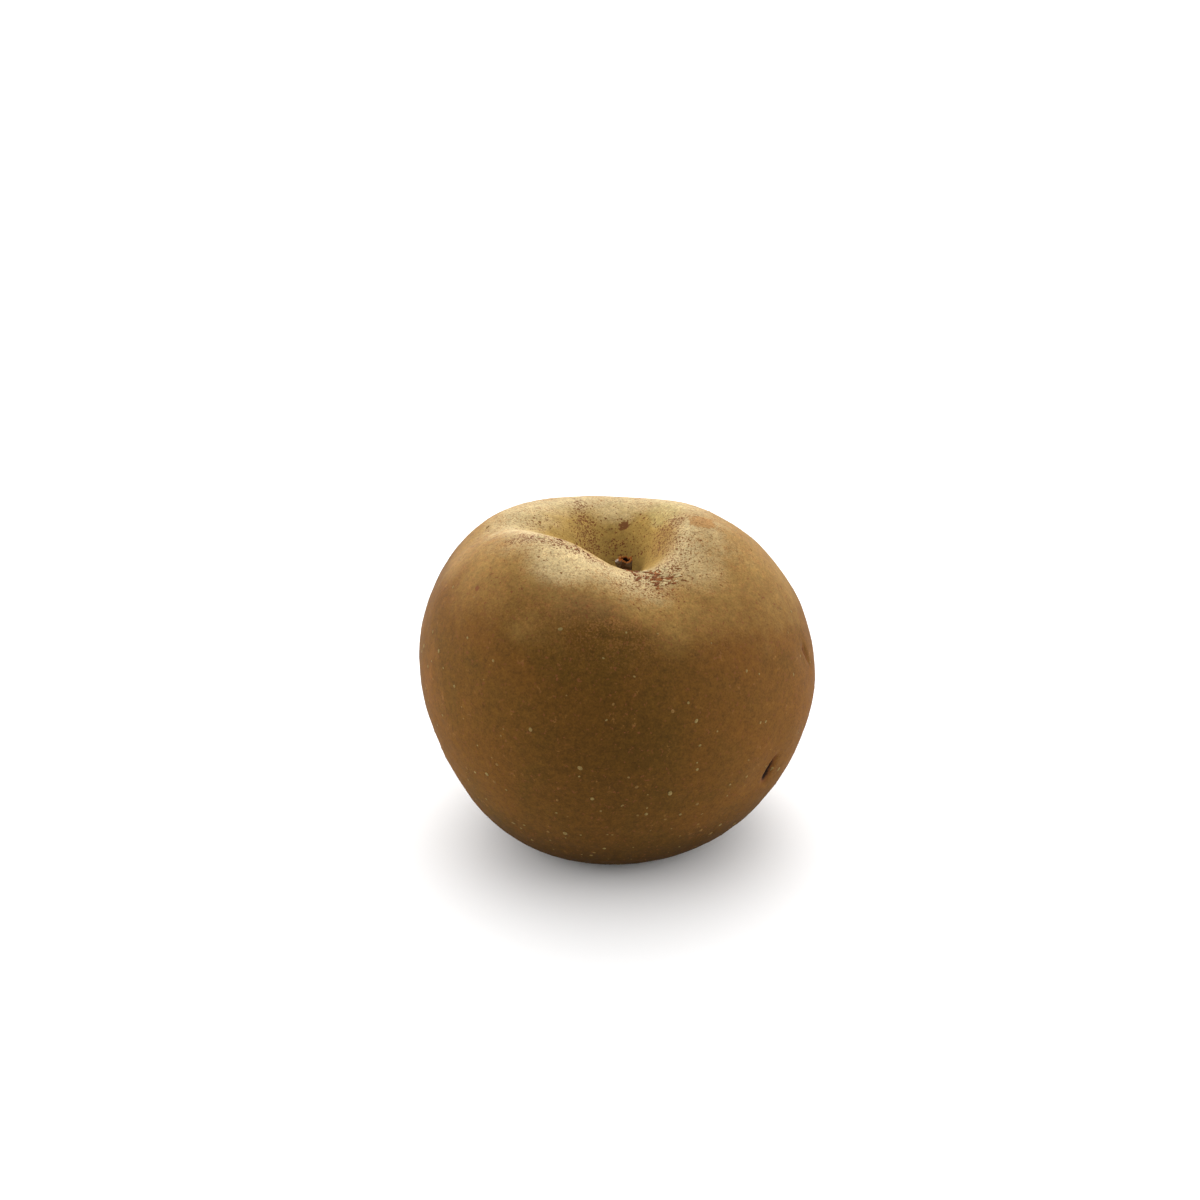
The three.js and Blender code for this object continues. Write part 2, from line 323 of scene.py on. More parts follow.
class StudioSetup(bpy.types.PropertyGroup):
    """The pale floor, the light and the camera"""

    floor_size: length_setting("Floor Size", "Side of the square floor", 24000)
    paper: colour_setting("Paper", "Colour of the floor", (0.90, 0.90, 0.90))
    paper_fibre: colour_setting("Paper Fibre", "Paler clouds in the floor", (0.92, 0.92, 0.92))
    side_light: FloatProperty(
        name="Side Light", description="Strength of the soft light from both sides", default=6.8
    )
    side_spill: FloatProperty(
        name="Side Spill", description="Strength of the broad light round the side lights", default=0.5
    )
    back_light: FloatProperty(name="Back Light", description="Strength of the bright backdrop", default=6.0)
    top_light: FloatProperty(
        name="Top Light", description="Strength of the soft light from above", default=2.0
    )
    camera_site: site_setting("Camera Site", "Where the camera stands", (-3.78, -264.15, 167.4))
    camera_down: FloatProperty(
        name="Camera Pitch",
        description="How far the camera looks down",
        default=math.radians(24),
        subtype="ANGLE",
    )
    lens: FloatProperty(
        name="Lens", description="Focal length on a 36 mm sensor, in millimetres", default=42.0
    )


class AppleSettings(bpy.types.PropertyGroup):
    """All settings of the apple"""

    fruit: PointerProperty(type=FruitForm)
    skin: PointerProperty(type=SkinFinish)
    stem: PointerProperty(type=StemForm)
    calyx: PointerProperty(type=CalyxForm)
    studio: PointerProperty(type=StudioSetup)


class Field:
    """A number that varies over a surface, held as a node socket, so that a rule reads as a formula."""

    def __init__(self, tree, socket):
        self.tree = tree
        self.socket = socket

    def math(self, operation, *others, clamp=False):
        node = self.tree.nodes.new("ShaderNodeMath")
        node.operation = operation
        node.use_clamp = clamp
        for place, value in enumerate((self, *others)):
            feed(self.tree, node.inputs[place], value)
        return Field(self.tree, node.outputs[0])

    def __add__(self, other):
        return self.math("ADD", other)

    def __sub__(self, other):
        return self.math("SUBTRACT", other)

    def __rsub__(self, other):
        return (self * -1.0) + other

    def __mul__(self, other):
        return self.math("MULTIPLY", other)

    def __truediv__(self, other):
        return self.math("DIVIDE", other)

    def __pow__(self, other):
        return self.math("POWER", other)

    __radd__ = __add__
    __rmul__ = __mul__

    def smooth(self, low, high):
        """Rises smoothly from 0 at low to 1 at high."""
        inputs = {"Value": self, "From Min": low, "From Max": high}
        node = add(self.tree, "ShaderNodeMapRange", inputs, interpolation_type="SMOOTHSTEP")
        return Field(self.tree, node.outputs[0])


def feed(tree, socket, value):
    """Links a field, a socket or a node's first output to a socket, or sets a plain value on it."""
    if isinstance(value, Field):
        tree.links.new(value.socket, socket)
    elif isinstance(value, bpy.types.NodeSocket):
        tree.links.new(value, socket)
    elif isinstance(value, bpy.types.Node):
        tree.links.new(value.outputs[0], socket)
    else:
        socket.default_value = value


def add(tree, kind, inputs=None, **settings):
    """Adds a node with its settings, then feeds its inputs by name or by place."""
    node = tree.nodes.new(kind)
    for name, value in settings.items():
        setattr(node, name, value)
    for place, value in (inputs or {}).items():
        feed(tree, node.inputs[place], value)
    return node


def spot(tree, x, y, z):
    return add(tree, "ShaderNodeCombineXYZ", {0: x, 1: y, 2: z}).outputs[0]


def apart(tree, vector):
    node = add(tree, "ShaderNodeSeparateXYZ", {0: vector})
    return [Field(tree, output) for output in node.outputs]


def vector_math(tree, operation, *vectors):
    inputs = dict(enumerate(vectors))
    return add(tree, "ShaderNodeVectorMath", inputs, operation=operation)


def scaled(tree, vector, factor):
    return add(tree, "ShaderNodeVectorMath", {0: vector, "Scale": factor}, operation="SCALE").outputs[0]


def noise_field(tree, place, size, detail=2.0, roughness=0.5):
    """Smooth noise round 0 whose features are about size metres across."""
    inputs = {"Vector": place, "Scale": 1.0 / size, "Detail": detail, "Roughness": roughness}
    return Field(tree, add(tree, "ShaderNodeTexNoise", inputs).outputs[0]) - 0.5


def mix_colour(tree, share, below, above, blend_type="MIX"):
    node = add(tree, "ShaderNodeMix", data_type="RGBA", blend_type=blend_type, clamp_factor=True)
    feed(tree, node.inputs[0], share)
    feed(tree, node.inputs[6], below)
    feed(tree, node.inputs[7], above)
    return node.outputs[2]


def opaque(colour):
    return (*colour, 1.0)


def near_line(tree, place, middle, line, half_length, half_width, taper=0.0):
    """1 on a line of the piece, fading to 0 across its half width and at its ends. Millimetres."""
    from_middle = vector_math(tree, "SUBTRACT", place, metres(middle)).outputs[0]
    along = Field(tree, vector_math(tree, "DOT_PRODUCT", from_middle, line).outputs["Value"])
    on_line = scaled(tree, line, along)
    aside = Field(tree, vector_math(tree, "DISTANCE", from_middle, on_line).outputs["Value"])
    run = along / (half_length * MM)
    end_fade = run ** 4.0
    side_fade = (aside / (half_width * MM) * (run * taper + 1.0)) ** 2.0
    return ((end_fade + side_fade) * -1.0).math("EXPONENT")


def total(fields):
    """The sum of several fields."""
    return sum(fields[1:], fields[0])


def away_from(tree, place, middle, reach):
    """0 at a spot of the piece and 1 at an egg-shaped reach round it. Millimetres."""
    from_middle = vector_math(tree, "SUBTRACT", place, metres(middle)).outputs[0]
    squeezed = vector_math(tree, "DIVIDE", from_middle, metres(reach)).outputs[0]
    return Field(tree, vector_math(tree, "LENGTH", squeezed).outputs["Value"])


def near_spot(tree, place, middle, reach):
    """1 at a spot of the piece, fading to 0 at its reach."""
    return 1.0 - away_from(tree, place, middle, reach).smooth(0.0, 1.0)


def near_spots(tree, place, spots):
    """The sum over spots, each with its middle and reach in millimetres and its strength."""
    return total([near_spot(tree, place, middle, reach) * strength for middle, reach, strength in spots])


# Geometry trees

def new_geometry_tree(name, inputs):
    """An empty geometry tree with named inputs, and its input node's sockets by name."""
    tree = bpy.data.node_groups.new(name, "GeometryNodeTree")
    tree.is_modifier = True
    tree.interface.new_socket("Geometry", in_out="OUTPUT", socket_type="NodeSocketGeometry")
    for label, socket_type in inputs:
        tree.interface.new_socket(label, in_out="INPUT", socket_type=socket_type)
    sockets = tree.nodes.new("NodeGroupInput").outputs
    return tree, sockets


def end_tree(tree, geometry, material):
    """Ends a geometry tree in realized, painted geometry."""
    realized = add(tree, "GeometryNodeRealizeInstances", {0: geometry})
    painted = add(tree, "GeometryNodeSetMaterial", {"Geometry": realized, "Material": material})
    add(tree, "NodeGroupOutput", {0: painted})


def grow(name, tree, values):
    """Runs a geometry tree on an empty object and keeps the result as that object's plain mesh."""
    piece = bpy.data.objects.new(name, bpy.data.meshes.new(name))
    bpy.context.scene.collection.objects.link(piece)
    modifier = piece.modifiers.new(name, "NODES")
    modifier.node_group = tree
    for item in tree.interface.items_tree:
        if item.in_out == "INPUT":
            modifier[item.identifier] = values[item.name]
    depsgraph = bpy.context.evaluated_depsgraph_get()
    mesh = bpy.data.meshes.new_from_object(piece.evaluated_get(depsgraph))
    mesh.materials.pop(index=0)  # the empty slot of the starting mesh
    piece.modifiers.remove(modifier)
    piece.data = mesh
    mesh.name = name
    return piece


def keep(tree, geometry, name, value):
    """Stores a field as a named attribute of the geometry."""
    return add(tree, "GeometryNodeStoreNamedAttribute", {"Geometry": geometry, "Name": name, "Value": value})


def turn_from(angle, at):
    """The shortest turn to an angle from a place round the fruit in degrees."""
    turn = angle - math.radians(at)
    return turn.math("SINE").math("ARCTAN2", turn.math("COSINE"))


def angle_bump(angle, at, half_width):
    """1 at a place round the fruit, fading over its half width. Both are in degrees."""
    away = turn_from(angle, at) / math.radians(half_width)
    return (away * away * -1.0).math("EXPONENT")


def bend(share, start, first, second, end):
    """How far a cubic curve has moved from its start at a share of the way."""
    rest = 1.0 - share
    return (
        share * rest * rest * ((first - start) * 3.0)
        + share * share * rest * ((second - start) * 3.0)
        + share * share * share * (end - start)
    )


def fruit_skin_tree():
    """The fruit's closed skin: a grid bent round the axis along an outline that changes with the angle."""
    lengths = (
        "Radius", "Crown Height", "Widest Level", "Crown Radius", "Hollow Depth", "Base Radius",
        "Rest Width", "Basin Depth", "Hole Radius", "Hole Depth", "Eye Radius", "Eye Recess",
    )
    inputs = [(name, "NodeSocketFloat") for name in lengths]
    inputs += [(name, "NodeSocketVector") for name in ("Lean", "Stem Site", "Axis Site")]
    inputs += [("Rounds", "NodeSocketInt"), ("Material", "NodeSocketMaterial")]
    tree, sockets = new_geometry_tree("Fruit skin", inputs)
    size = {name: Field(tree, sockets[name]) for name in lengths}

    rows = sum(OUTLINE_ROWS.values())
    grid = add(tree, "GeometryNodeMeshGrid", {"Size X": 1.0, "Size Y": 1.0, "Vertices Y": rows + 1})
    columns = Field(tree, sockets["Rounds"]) + 1.0
    feed(tree, grid.inputs["Vertices X"], columns)
    across, up, _ = apart(tree, add(tree, "GeometryNodeInputPosition"))

    even_turn = across * math.tau
    angle = even_turn + math.radians(FINE_SIDE) - even_turn.math("SINE") * FINE_SIDE_SHARE

    station = (up + 0.5) * rows
    share = {}
    first_row = 0
    for stretch, count in OUTLINE_ROWS.items():
        share[stretch] = ((station - first_row) / count).math("ADD", 0.0, clamp=True)
        first_row += count

    oval = (angle * 2.0).math("COSINE") * OVAL_SHARE
    three_sided = (angle * 3.0).math("COSINE") * THREE_SIDED_SHARE
    side = size["Radius"] * (oval + three_sided + 1.0)
    crown = size["Crown Height"]
    for _, at, rise, half_width in CROWN_LOBES:
        crown = crown + angle_bump(angle, at, half_width) * rise
    widest = size["Widest Level"] - angle.math("COSINE") * WIDEST_TILT
    floor = size["Crown Height"] - size["Hollow Depth"]
    hole = size["Hole Radius"]
    rim = size["Crown Radius"]
    foot_out = size["Base Radius"] + size["Rest Width"] * 0.5
    foot_in = size["Base Radius"] - size["Rest Width"] * 0.5
    eye = size["Eye Radius"]
    basin = size["Basin Depth"]
    eye_lip = (angle * BASIN_RIBS).math("COSINE") * BASIN_RIB + BASIN_FLOOR
    hole_bottom = floor - size["Hole Depth"]

    radius = (
        share["hole floor"] * hole
        + bend(share["hollow"], hole, hole + HOLLOW_FLOOR_REACH, rim * (1 - HOLLOW_LIP), rim)
        + bend(share["shoulder"], rim, rim + (side - rim) * SHOULDER_TOP, side, side)
        + bend(share["flank"], side, side, foot_out + (side - foot_out) * FLANK_FOOT, foot_out)
        - share["rest"] * size["Rest Width"]
        + bend(share["basin"], foot_in, foot_in * BASIN_LIP, eye + eye_lip * foot_in, eye)
        - share["recess roof"] * eye
    )
    level = (
        hole_bottom
        + share["hole wall"] * size["Hole Depth"]
        + bend(share["hollow"], floor, floor, crown, crown)
        + bend(share["shoulder"], crown, crown, widest + (crown - widest) * SHOULDER_SIDE, widest)
        + bend(share["flank"], widest, widest * (1 - FLANK_SIDE), 0.0, 0.0)
        + bend(share["basin"], 0.0, 0.0, basin, basin)
        + share["recess wall"] * size["Eye Recess"]
    )

    # The dimples of the scars lie on the outside alone.
    outside = share["shoulder"].math("GREATER_THAN", 0.0)
    for _, at, scar_level, depth, half_width in SCAR_DIMPLES:
        along = turn_from(angle, at) * radius
        rise = level - scar_level
        away = (along * along + rise * rise) / (half_width * half_width)
        radius = radius - (away * -1.0).math("EXPONENT") * depth * outside

    # The outside grows over to one side with its level, and the hollow runs from there to the stem's site.
    in_hollow = 1.0 - outside
    lean_level = level + (crown - level) * in_hollow
    lean_share = (lean_level / size["Crown Height"]) ** 2.0
    lean_x, lean_y, _ = apart(tree, sockets["Lean"])
    stem_x, stem_y, _ = apart(tree, sockets["Stem Site"])
    axis_x, axis_y, _ = apart(tree, sockets["Axis Site"])
    centre_x = stem_x + (lean_x * lean_share - stem_x) * share["hollow"]
    centre_y = stem_y + (lean_y * lean_share - stem_y) * share["hollow"]
    x = axis_x + centre_x + radius * angle.math("COSINE")
    y = axis_y + centre_y + radius * angle.math("SINE")

    # The way along the half outline: 0 at the stem, 1 on the crown, 2 at the widest, 3 at the foot
    # and 4 at the eye.
    way = share["hollow"] + share["shoulder"] + share["flank"] + share["basin"]
    marked = keep(tree, grid, "way", way)
    bent = add(tree, "GeometryNodeSetPosition", {"Geometry": marked, "Position": spot(tree, x, y, level)})
    sewn = add(tree, "GeometryNodeMergeByDistance", {"Geometry": bent, "Distance": 0.001 * MM})
    outward = add(tree, "GeometryNodeFlipFaces", {0: sewn})

    # Slits of the scars, and the slight unevenness of a grown skin, away from the resting ring.
    place = add(tree, "GeometryNodeInputPosition").outputs[0]
    swell = noise_field(tree, place, SWELL_SIZE) * SWELL_HEIGHT
    pimple = noise_field(tree, place, PIMPLE_SIZE, detail=1.0) * PIMPLE_HEIGHT
    _, _, height = apart(tree, place)
    lift = (swell + pimple) * height.smooth(*UNEVEN_FROM)
    scars = []
    for _, middle, direction, half_length, half_width, depth, darkness in SCAR_SLITS:
        line = Vector(direction).normalized()
        cut = near_line(tree, place, middle, line, half_length, half_width, SLIT_TAPER)
        lift = lift - cut * (depth * MM)
        scars.append(cut * darkness)
    scarred = keep(tree, outward, "scar", total(scars))

    # How thickly cork flecks crowd in the hollow and in their bands round it.
    crowding = (1.0 - outline_way(tree).smooth(0.7, 1.0)) * HOLLOW_CROWD
    for _, middle, direction, half_length, half_width, crowd in FLECK_BANDS:
        line = Vector(direction).normalized()
        crowding = crowding + near_line(tree, place, middle, line, half_length, half_width) * crowd
    flecked = keep(tree, scarred, "flecks", crowding)
    normal = add(tree, "GeometryNodeInputNormal").outputs[0]
    offset = scaled(tree, normal, lift)
    uneven = add(tree, "GeometryNodeSetPosition", {"Geometry": flecked, "Offset": offset})
    rounded = add(tree, "GeometryNodeSetShadeSmooth", {0: uneven})
    end_tree(tree, rounded, sockets["Material"])
    return tree


def speck_tree(name, make_bead, density_rule, stretch, flatness, twist, tilt):
    """Small closed beads on the skin, as dense as a rule of the place says; twist and tilt in radians."""
    inputs = [
        ("Skin", "NodeSocketObject"), ("Radius", "NodeSocketFloat"), ("Density", "NodeSocketFloat"),
        ("Seed", "NodeSocketInt"), ("Material", "NodeSocketMaterial"),
    ]
    tree, sockets = new_geometry_tree(name, inputs)
    skin = add(tree, "GeometryNodeObjectInfo", {"Object": sockets["Skin"]}, transform_space="ORIGINAL")
    skin_mesh = skin.outputs["Geometry"]
    density = density_rule(tree) * Field(tree, sockets["Density"])
    spread = {"Mesh": skin_mesh, "Density": density, "Seed": sockets["Seed"]}
    scatter = add(tree, "GeometryNodeDistributePointsOnFaces", spread)
    radius = Field(tree, sockets["Radius"]) * (random_number(tree, 0.0, 1.0, "radius") ** 2.2 * 0.62 + 0.38)
    long = radius * random_number(tree, *stretch, "stretch")
    scale = spot(tree, long, radius, radius * flatness)
    tilted = random_number(tree, -tilt, tilt, "tilt")
    twisted = random_number(tree, -twist, twist, "twist")
    turn = add(tree, "FunctionNodeEulerToRotation", {0: spot(tree, tilted, 0.0, twisted)})
    lying = {0: scatter.outputs["Rotation"], 1: turn}
    facing = add(tree, "FunctionNodeRotateRotation", lying, rotation_space="LOCAL")
    beads = {
        "Points": scatter.outputs["Points"],
        "Instance": make_bead(tree),
        "Rotation": facing,
        "Scale": scale,
    }
    placed = add(tree, "GeometryNodeInstanceOnPoints", beads)
    tint = {"Geometry": placed, "Name": "tint", "Value": random_number(tree, 0.0, 1.0, "tint")}
    tinted = add(tree, "GeometryNodeStoreNamedAttribute", tint, domain="INSTANCE")
    end_tree(tree, tinted, sockets["Material"])
    return tree


def pore_bead(tree):
    """A small round bead."""
    bead = add(tree, "GeometryNodeMeshUVSphere", {"Segments": 8, "Rings": 4, "Radius": 1.0})
    return add(tree, "GeometryNodeSetShadeSmooth", {0: bead})


def chip_bead(tree):
    """A six-sided chip with a narrower top."""
    sizes = {"Vertices": 6, "Radius Top": 0.7, "Radius Bottom": 1.0, "Depth": 1.0}
    return add(tree, "GeometryNodeMeshCone", sizes)


def random_number(tree, low, high, use):
    """A number of its own for each bead, for one use."""
    inputs = {2: low, 3: high, "Seed": BEAD_SEEDS[use]}
    node = add(tree, "FunctionNodeRandomValue", inputs, data_type="FLOAT")
    return Field(tree, node.outputs[1])


def outline_way(tree):
    """The way along the half outline, as the skin keeps it."""
    node = add(tree, "GeometryNodeInputNamedAttribute", {"Name": "way"}, data_type="FLOAT")
    return Field(tree, node.outputs[0])


def lenticel_density(tree):
    """Few pores on the shoulder, more towards the foot, and none in the hollow or where the fruit rests."""
    way = outline_way(tree)
    below = way.smooth(1.25, 2.7) * 0.85 + 0.15
    off_rest = (way - 3.0).math("ABSOLUTE").smooth(0.1, 0.3)
    return below * off_rest * way.smooth(1.1, 1.3) * (1.0 - way.smooth(3.2, 3.7))


def flake_density(tree):
    """Lifted cork flakes on the low front rim of the hollow, and some along the crest on its left."""
    place = add(tree, "GeometryNodeInputPosition").outputs[0]
    rim = 1.0 - away_from(tree, place, *SKIN_SPOTS["lifted flakes"]).smooth(0.35, 1.1)
    crest = near_line(tree, place, *FLAKE_CREST)
    patchy = noise_field(tree, place, 2.2 * MM, detail=1.0).smooth(-0.2, 0.1)
    return (rim + crest * 0.3) * patchy


# Shader groups that more than one finish uses

def new_shader_group(name, inputs, outputs):
    """An empty shader group with named sockets, and its input node's sockets by name."""
    group = bpy.data.node_groups.new(name, "ShaderNodeTree")
    for label, socket_type, default in inputs:
        socket = group.interface.new_socket(label, in_out="INPUT", socket_type=socket_type)
        if default is not None:
            socket.default_value = default
    for label, socket_type in outputs:
        group.interface.new_socket(label, in_out="OUTPUT", socket_type=socket_type)
    return group, group.nodes.new("NodeGroupInput").outputs


def cork_grain_group():
    """Fine sandy grain of corky skin: a tone round 1 and a height."""
    inputs = (
        ("Place", "NodeSocketVector", None),
        ("Fineness", "NodeSocketFloat", 2600.0),
        ("Contrast", "NodeSocketFloat", 0.3),
    )
    outputs = (("Tone", "NodeSocketFloat"), ("Height", "NodeSocketFloat"))
    group, sockets = new_shader_group("Cork grain", inputs, outputs)
    fineness = Field(group, sockets["Fineness"])
    sand = {"Vector": sockets["Place"], "Scale": fineness, "Detail": 3.0, "Roughness": 0.65}
    fine = add(group, "ShaderNodeTexNoise", sand)
    grit = {"Vector": sockets["Place"], "Scale": fineness * 0.31, "Detail": 2.0}
    coarse = add(group, "ShaderNodeTexNoise", grit)
    height = Field(group, fine.outputs[0]) * 0.65 + Field(group, coarse.outputs[0]) * 0.35
    tone = (height - 0.5) * Field(group, sockets["Contrast"]) * 2.0 + 1.0
    add(group, "NodeGroupOutput", {"Tone": tone, "Height": height})
    return group


def cloud_group():
    """Soft cloudy patches as a mask."""
    inputs = (
        ("Place", "NodeSocketVector", None),
        ("Fineness", "NodeSocketFloat", 60.0),
        ("Least", "NodeSocketFloat", 0.4),
        ("Most", "NodeSocketFloat", 0.65),
    )
    group, sockets = new_shader_group("Cloudy patches", inputs, (("Mask", "NodeSocketFloat"),))
    clouds = {"Vector": sockets["Place"], "Scale": sockets["Fineness"], "Detail": 3.0, "Distortion": 0.4}
    cloud = add(group, "ShaderNodeTexNoise", clouds)
    mask = Field(group, cloud.outputs[0]).smooth(sockets["Least"], sockets["Most"])
    add(group, "NodeGroupOutput", {"Mask": mask})
    return group


def fleck_group():
    """Small ragged flecks as a mask. Share says how many of the cells hold one."""
    inputs = (
        ("Place", "NodeSocketVector", None),
        ("Fineness", "NodeSocketFloat", 900.0),
        ("Share", "NodeSocketFloat", 0.3),
        ("Reach", "NodeSocketFloat", 0.4),
    )
    group, sockets = new_shader_group("Scattered flecks", inputs, (("Mask", "NodeSocketFloat"),))
    fineness = Field(group, sockets["Fineness"])
    ragged = {"Vector": sockets["Place"], "Scale": fineness * 1.7, "Detail": 2.0}
    warp = add(group, "ShaderNodeTexNoise", ragged)
    nudge = vector_math(group, "SUBTRACT", warp.outputs["Color"], (0.5, 0.5, 0.5)).outputs[0]
    nudge = scaled(group, nudge, fineness ** -1.0 * 0.9)
    moved = vector_math(group, "ADD", sockets["Place"], nudge).outputs[0]
    cell = add(group, "ShaderNodeTexVoronoi", {"Vector": moved, "Scale": fineness})
    luck, size, _ = apart(group, cell.outputs["Color"])
    chosen = luck.math("LESS_THAN", sockets["Share"])
    reach = Field(group, sockets["Reach"]) * (size * 0.7 + 0.45)
    near = 1.0 - (Field(group, cell.outputs["Distance"]) / reach).smooth(0.7, 1.0)
    add(group, "NodeGroupOutput", {"Mask": near * chosen})
    return group


SHADER_GROUPS = {
    "Cork grain": cork_grain_group,
    "Cloudy patches": cloud_group,
    "Scattered flecks": fleck_group,
}


def use_group(tree, name, place, **values):
    """Places a shader group, made on its first use, and gives its outputs by name."""
    group = bpy.data.node_groups.get(name) or SHADER_GROUPS[name]()
    node = add(tree, "ShaderNodeGroup", {"Place": place, **values}, node_tree=group)
    return {output.name: Field(tree, output) for output in node.outputs}


# Finishes

def new_finish(name, roughness):
    """A material with its Principled shader, and the place on the piece."""
    material = bpy.data.materials.new(name)
    material.use_nodes = True
    tree = material.node_tree
    shader = tree.nodes["Principled BSDF"]
    shader.inputs["Roughness"].default_value = roughness
    shader.inputs["Specular IOR Level"].default_value = MATT_GLOSS
    place = tree.nodes.new("ShaderNodeTexCoord").outputs["Object"]
    return material, tree, shader, place


def stored(tree, name):
    """A number that the piece keeps at each point, read in its material."""
    return Field(tree, add(tree, "ShaderNodeAttribute", attribute_name=name).outputs["Fac"])


def layered(tree, ground, layers):
    """A colour with others laid over it one after another, each by its share."""
    for share, colour in layers:
        ground = mix_colour(tree, share, ground, colour)
    return ground


def toned(tree, colour, tone):
    """A colour made darker or lighter by a tone round 1."""
    return mix_colour(tree, 1.0, colour, spot(tree, tone, tone, tone), "MULTIPLY")


def raise_grain(tree, shader, grain, distance, strength):
    """Roughens a finish by the height of its grain."""
    inputs = {"Height": grain["Height"], "Distance": distance, "Strength": strength}
    feed(tree, shader.inputs["Normal"], add(tree, "ShaderNodeBump", inputs))


def russet_colour(tree, place, foot, skin):
    """Russet of the flank: olive and rusty clouds, redder to the right, painted shade darkest in front and
    at the foot.
    """
    across, _, _ = apart(tree, place)
    olive = use_group(tree, "Cloudy patches", place, Fineness=75.0, Least=0.36, Most=0.72)
    rust = use_group(tree, "Cloudy patches", place, Fineness=210.0, Least=0.32, Most=0.80)
    blotch = near_spot(tree, place, *SKIN_SPOTS["rusty blotch"]) * rust["Mask"]
    front = near_spot(tree, place, *SKIN_SPOTS["shaded front"])
    layers = (
        (olive["Mask"] * 0.75, opaque(skin.olive)),
        (rust["Mask"] * 0.20 + across.smooth(*REDDER_SIDE) * 0.30, opaque(skin.rust)),
        (blotch * 0.9, opaque(skin.rust)),
        # Painted shade on the front that faces the camera, and at the foot where the fruit sits in its own
        # shadow.
        (front.math("MAXIMUM", foot) * 0.75 + foot * 0.25, opaque(skin.painted_shade)),
    )
    return layered(tree, opaque(skin.russet), layers)


def crown_colour(tree, place, way, patchy, torn, russet, skin):
    """The bare ground of the hollow and the crown, where russet closes over it, and where it is rubbed pale
    and painted with highlight.
    """
    across, _, _ = apart(tree, place)
    broad = noise_field(tree, place, BROAD_PATCH)
    halo = near_spot(tree, place, *SKIN_SPOTS["front halo"])
    front = near_spot(tree, place, *SKIN_SPOTS["front shoulder"])
    right = across.smooth(*BARER_SIDE)
    edge = way + broad * 0.35 + patchy * 0.16 - halo * 0.08 - right * 0.16 + front * 0.13
    green = near_spot(tree, place, *SKIN_SPOTS["green ground"]) + patchy
    dusky = near_spots(tree, place, DUSKY_SPOTS) + patchy * 0.6
    worn = near_spots(tree, place, WORN_SPOTS)
    # Rubbed pale places, partly painted highlight where the left ridge and the rims catch the light.
    rubbed_and_highlight = (near_spots(tree, place, PALE_SPOTS) * (patchy * 1.6 + 1.0)).smooth(0.0, 1.0)
    orange = near_spot(tree, place, *SKIN_SPOTS["orange patch"]) + patchy * 1.2 + torn * 1.5
    layers = (
        (edge.smooth(*CREAM_EDGE), opaque(skin.cream)),
        (green.smooth(0.1, 0.7) * 0.5, opaque(skin.green)),
        (edge.smooth(*TAN_EDGE), opaque(skin.tan)),
        (dusky.smooth(0.0, 1.0) * 0.55, opaque(skin.dusk)),
        (edge.smooth(*RUSSET_EDGE), russet),
        (worn.smooth(0.0, 0.6) * 0.5, opaque(skin.tan)),
        (rubbed_and_highlight * 0.8, opaque(skin.pale)),
        (orange.smooth(0.25, 0.6) * 0.75, opaque(skin.orange)),
    )
    return layered(tree, opaque(skin.hollow), layers), rubbed_and_highlight


def fleck_mask(tree, place, patchy, torn):
    """Cork flecks that crowd in bands round the hollow, and the scabs."""
    share = stored(tree, "flecks") * (patchy * 3.6 + 1.6).math("MAXIMUM", 0.0)
    sparse = share * 0.55
    small = use_group(tree, "Scattered flecks", place, Fineness=2800.0, Share=share, Reach=0.60)
    large = use_group(tree, "Scattered flecks", place, Fineness=1500.0, Share=sparse, Reach=0.52)
    scab = near_spots(tree, place, SCAB_SPOTS) + torn * 3.0
    return small["Mask"].math("MAXIMUM", large["Mask"]).math("MAXIMUM", scab.smooth(0.3, 0.6))


def russet_skin_finish(skin):
    """Matt russet over an olive ground, bare and flecked round the hollow, with two healed slits."""
    material, tree, shader, place = new_finish("russet_cork", 0.62)
    way = stored(tree, "way")
    # Painted shade grows towards the foot, where the fruit sits in its own shadow on the floor.
    foot = way.smooth(*FOOT_SHADE_EDGE)
    patchy = noise_field(tree, place, PATCH, detail=3.0, roughness=0.6)
    torn = noise_field(tree, place, TORN_EDGE, detail=3.0, roughness=0.65)
    russet = russet_colour(tree, place, foot, skin)
    ground, rubbed_and_highlight = crown_colour(tree, place, way, patchy, torn, russet, skin)

    # Fine russet points over the crown and shoulder, and fewer on the smoother flank.
    uneven = 1.0 - way.smooth(*FLANK_EDGE) * 0.65
    point = noise_field(tree, place, STIPPLE_POINT, roughness=0.6) + patchy * 0.35
    # Fewer points where the ground is rubbed pale and painted with highlight.
    stippled = way.smooth(*STIPPLE_START) * (1.0 - way.smooth(*STIPPLE_END)) * (1.0 - rubbed_and_highlight * 0.5)
    cover = stippled * 0.55 + uneven * 0.10
    pointed = mix_colour(tree, point.smooth(0.0, 0.12) * cover, ground, opaque(skin.stipple))
    grain = use_group(tree, "Cork grain", place, Fineness=2600.0, Contrast=0.95)
    # The tone is darkened further by painted shade at the foot.
    tone = grain["Tone"] * (patchy * uneven * 0.35 + 1.0) * (1.0 - foot * 0.23)

    # The slits have a brown rim and are dark inside.
    scar = stored(tree, "scar")
    marks = (
        (fleck_mask(tree, place, patchy, torn) * 0.92, opaque(skin.fleck)),
        ((scar + torn * 0.3).smooth(0.0, 0.4) * 0.7, opaque(skin.fleck)),
        ((scar + torn * 0.5).smooth(0.25, 0.6), opaque(skin.scar)),
    )
    colour = layered(tree, toned(tree, pointed, tone), marks)
    feed(tree, shader.inputs["Base Color"], colour)
    feed(tree, shader.inputs["Roughness"], grain["Tone"] * 0.15 + 0.62)
    raise_grain(tree, shader, grain, 0.06 * MM, 0.55)
    return material


